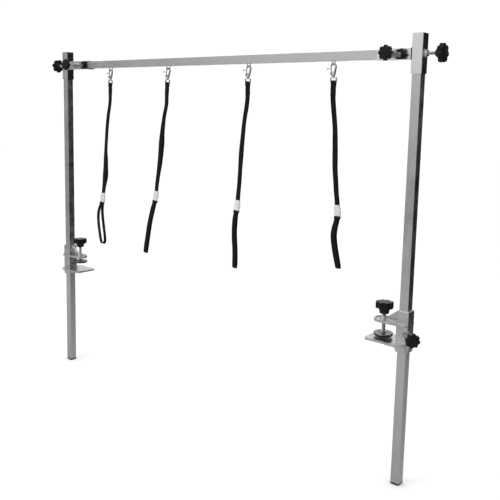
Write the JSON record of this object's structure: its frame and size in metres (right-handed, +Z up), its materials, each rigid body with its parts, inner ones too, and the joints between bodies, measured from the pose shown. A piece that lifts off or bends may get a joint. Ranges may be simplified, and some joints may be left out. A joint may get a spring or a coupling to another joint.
{
  "type": "pet grooming table overhead frame",
  "caption": "Overhead frame for a pet grooming table: square steel posts in table clamps, a crossbar between sliding heads, and webbing grooming loops on snap hooks.",
  "frame": {"origin": "centre of the right clamp's lower jaw face, straight below its clamping screw, where it meets the underside of the table top", "axes": "+X along the crossbar from the left post to the right post, -Y towards the groomer, +Z up along the posts"},
  "size_m": [1.574, 0.1292, 1.196],
  "materials": {
    "casting": "tumbled cast aluminium, satin",
    "pad_rubber": "moulded rubber",
    "zinc_plate": "pressed and plated steel",
    "screw_steel": "plated steel",
    "knob_black": "moulded plastic",
    "tube_steel": "fine brushed stainless",
    "sleeve_steel": "polished stainless",
    "plug_black": "moulded plastic",
    "snap_nickel": "nickel plated",
    "slider_metal": "nickel plated",
    "webbing": "woven nylon"
  },
  "bodies": {
    "clamp_right": {"clamp_casting_right": "casting"},
    "disc_right": {"pressure_disc_right": "zinc_plate", "pressure_pad_right": "pad_rubber"},
    "screw_right": {"clamp_screw_right": "screw_steel", "clamp_knob_right": "knob_black"},
    "clamp_lock_right": {"clamp_lock_screw_right": "screw_steel", "clamp_lock_knob_right": "knob_black"},
    "post_right": {"post_right": "tube_steel", "post_foot_plug_right": "plug_black"},
    "head_right": {"head_sleeve_right": "sleeve_steel", "bar_sleeve_right": "sleeve_steel", "weld_nuts_right": "screw_steel"},
    "head_lock_right": {"head_lock_screw_right": "screw_steel", "head_lock_knob_right": "knob_black"},
    "bar_lock_right": {"bar_lock_screw_right": "screw_steel", "bar_lock_knob_right": "knob_black"},
    "clamp_left": {"clamp_casting_left": "casting"},
    "disc_left": {"pressure_disc_left": "zinc_plate", "pressure_pad_left": "pad_rubber"},
    "screw_left": {"clamp_screw_left": "screw_steel", "clamp_knob_left": "knob_black"},
    "clamp_lock_left": {"clamp_lock_screw_left": "screw_steel", "clamp_lock_knob_left": "knob_black"},
    "post_left": {"post_left": "tube_steel", "post_foot_plug_left": "plug_black"},
    "head_left": {"head_sleeve_left": "sleeve_steel", "bar_sleeve_left": "sleeve_steel", "weld_nuts_left": "screw_steel"},
    "head_lock_left": {"head_lock_screw_left": "screw_steel", "head_lock_knob_left": "knob_black"},
    "bar_lock_left": {"bar_lock_screw_left": "screw_steel", "bar_lock_knob_left": "knob_black"},
    "crossbar": {"crossbar": "tube_steel", "bar_eyes": "snap_nickel"},
    "snap_1": {"snap_hook_1": "snap_nickel"},
    "bolt_1": {"snap_bolt_1": "snap_nickel"},
    "swivel_1": {"swivel_eye_1": "snap_nickel"},
    "loop_1": {"strap_1": "webbing", "strap_slider_1": "slider_metal", "noose_1": "webbing"},
    "snap_2": {"snap_hook_2": "snap_nickel"},
    "bolt_2": {"snap_bolt_2": "snap_nickel"},
    "swivel_2": {"swivel_eye_2": "snap_nickel"},
    "loop_2": {"strap_2": "webbing", "strap_slider_2": "slider_metal", "noose_2": "webbing"},
    "snap_3": {"snap_hook_3": "snap_nickel"},
    "bolt_3": {"snap_bolt_3": "snap_nickel"},
    "swivel_3": {"swivel_eye_3": "snap_nickel"},
    "loop_3": {"strap_3": "webbing", "strap_slider_3": "slider_metal", "noose_3": "webbing"},
    "snap_4": {"snap_hook_4": "snap_nickel"},
    "bolt_4": {"snap_bolt_4": "snap_nickel"},
    "swivel_4": {"swivel_eye_4": "snap_nickel"},
    "loop_4": {"strap_4": "webbing", "strap_slider_4": "slider_metal", "noose_4": "webbing"}
  },
  "joints": [
    {"name": "post_right_slide", "type": "slide", "parent": "clamp_right", "child": "post_right", "axis": [0, 0, 1], "range_m": [-0.25, 0.3]},
    {"name": "head_right_slide", "type": "slide", "parent": "post_right", "child": "head_right", "axis": [0, 0, 1], "range_m": [-0.33, 0.02]},
    {"name": "crossbar_slide_right", "type": "slide", "parent": "head_right", "child": "crossbar", "axis": [1, 0, 0], "range_m": [-0.04, 0.01]},
    {"name": "crossbar_slide_left", "type": "slide", "parent": "crossbar", "child": "head_left", "axis": [1, 0, 0], "range_m": [-0.06, 0.01]},
    {"name": "head_left_slide", "type": "slide", "parent": "head_left", "child": "post_left", "axis": [0, 0, 1], "range_m": [-0.02, 0.33]},
    {"name": "post_left_slide", "type": "slide", "parent": "post_left", "child": "clamp_left", "axis": [0, 0, 1], "range_m": [-0.25, 0.3]},
    {"name": "disc_slide_right", "type": "slide", "parent": "clamp_right", "child": "disc_right", "axis": [0, 0, 1], "range_m": [-0.0048, 0.0265]},
    {"name": "clamp_screw_turn_right", "type": "hinge", "parent": "disc_right", "child": "screw_right", "pos_m": [0, 0, 0.052], "axis": [0, 0, 1], "range_deg": [-1128, 6336]},
    {"name": "disc_slide_left", "type": "slide", "parent": "clamp_left", "child": "disc_left", "axis": [0, 0, 1], "range_m": [-0.0255, 0.0058]},
    {"name": "clamp_screw_turn_left", "type": "hinge", "parent": "disc_left", "child": "screw_left", "pos_m": [-1.313, 0, 0.05], "axis": [0, 0, 1], "range_deg": [-6096, 1368]},
    {"name": "clamp_lock_turn_right", "type": "hinge", "parent": "clamp_right", "child": "clamp_lock_right", "pos_m": [0.08371, -0.02121, 0.024], "axis": [0.7071, -0.7071, 0], "range_deg": [0, 180]},
    {"name": "clamp_lock_turn_left", "type": "hinge", "parent": "clamp_left", "child": "clamp_lock_left", "pos_m": [-1.39671, 0.02121, 0.001], "axis": [-0.7071, 0.7071, 0], "range_deg": [0, 180]},
    {"name": "head_lock_turn_right", "type": "hinge", "parent": "head_right", "child": "head_lock_right", "pos_m": [0.0925, 0, 0.748], "axis": [1, 0, 0], "range_deg": [0, 180]},
    {"name": "bar_lock_turn_right", "type": "hinge", "parent": "head_right", "child": "bar_lock_right", "pos_m": [-0.002, -0.03, 0.748], "axis": [0, -1, 0], "range_deg": [0, 180]},
    {"name": "head_lock_turn_left", "type": "hinge", "parent": "head_left", "child": "head_lock_left", "pos_m": [-1.4055, 0, 0.748], "axis": [-1, 0, 0], "range_deg": [0, 180]},
    {"name": "bar_lock_turn_left", "type": "hinge", "parent": "head_left", "child": "bar_lock_left", "pos_m": [-1.311, -0.03, 0.748], "axis": [0, -1, 0], "range_deg": [0, 180]},
    {"name": "snap_swing_1", "type": "hinge", "parent": "crossbar", "child": "snap_1", "pos_m": [-1.1275, 0, 0.726], "axis": [0, 1, 0], "range_deg": [-15, 15]},
    {"name": "snap_bolt_pull_1", "type": "slide", "parent": "snap_1", "child": "bolt_1", "axis": [0.0698, 0, 0.9976], "range_m": [-0.006, 0], "stiffness_N_per_m": 300, "springref_m": 0.004},
    {"name": "snap_swivel_1", "type": "hinge", "parent": "snap_1", "child": "swivel_1", "pos_m": [-1.12987, 0, 0.69208], "axis": [0.0698, 0, 0.9976], "continuous": true},
    {"name": "loop_swing_1", "type": "hinge", "parent": "swivel_1", "child": "loop_1", "pos_m": [-1.1307, 0, 0.68031], "axis": [-0.9976, 0, 0.0698], "range_deg": [-40, 40]},
    {"name": "snap_swing_2", "type": "hinge", "parent": "crossbar", "child": "snap_2", "pos_m": [-0.8355, 0, 0.726], "axis": [0, 1, 0], "range_deg": [-15, 15]},
    {"name": "snap_bolt_pull_2", "type": "slide", "parent": "snap_2", "child": "bolt_2", "axis": [0.0896, 0, 0.996], "range_m": [-0.006, 0], "stiffness_N_per_m": 300, "springref_m": 0.004},
    {"name": "snap_swivel_2", "type": "hinge", "parent": "snap_2", "child": "swivel_2", "pos_m": [-0.83855, 0, 0.69214], "axis": [0.0896, 0, 0.996], "continuous": true},
    {"name": "loop_swing_2", "type": "hinge", "parent": "swivel_2", "child": "loop_2", "pos_m": [-0.83961, 0, 0.68038], "axis": [-0.996, 0, 0.0896], "range_deg": [-40, 40]},
    {"name": "snap_swing_3", "type": "hinge", "parent": "crossbar", "child": "snap_3", "pos_m": [-0.4915, 0, 0.726], "axis": [0, 1, 0], "range_deg": [-15, 15]},
    {"name": "snap_bolt_pull_3", "type": "slide", "parent": "snap_3", "child": "bolt_3", "axis": [0.0599, 0, 0.9982], "range_m": [-0.006, 0], "stiffness_N_per_m": 300, "springref_m": 0.004},
    {"name": "snap_swivel_3", "type": "hinge", "parent": "snap_3", "child": "swivel_3", "pos_m": [-0.49354, 0, 0.69206], "axis": [0.0599, 0, 0.9982], "continuous": true},
    {"name": "loop_swing_3", "type": "hinge", "parent": "swivel_3", "child": "loop_3", "pos_m": [-0.49424, 0, 0.68028], "axis": [-0.9982, 0, 0.0599], "range_deg": [-40, 40]},
    {"name": "snap_swing_4", "type": "hinge", "parent": "crossbar", "child": "snap_4", "pos_m": [-0.1915, 0, 0.726], "axis": [0, 1, 0], "range_deg": [-15, 15]},
    {"name": "snap_bolt_pull_4", "type": "slide", "parent": "snap_4", "child": "bolt_4", "axis": [-0.04, 0, 0.9992], "range_m": [-0.006, 0], "stiffness_N_per_m": 300, "springref_m": 0.004},
    {"name": "snap_swivel_4", "type": "hinge", "parent": "snap_4", "child": "swivel_4", "pos_m": [-0.19014, 0, 0.69203], "axis": [-0.04, 0, 0.9992], "continuous": true},
    {"name": "loop_swing_4", "type": "hinge", "parent": "swivel_4", "child": "loop_4", "pos_m": [-0.18967, 0, 0.68024], "axis": [-0.9992, 0, -0.04], "range_deg": [-40, 40]}
  ],
  "couplings": [
    {"joint": "disc_slide_right", "follows": "clamp_screw_turn_right", "m_per_rad": 0.00023873},
    {"joint": "disc_slide_left", "follows": "clamp_screw_turn_left", "m_per_rad": 0.00023873}
  ]
}
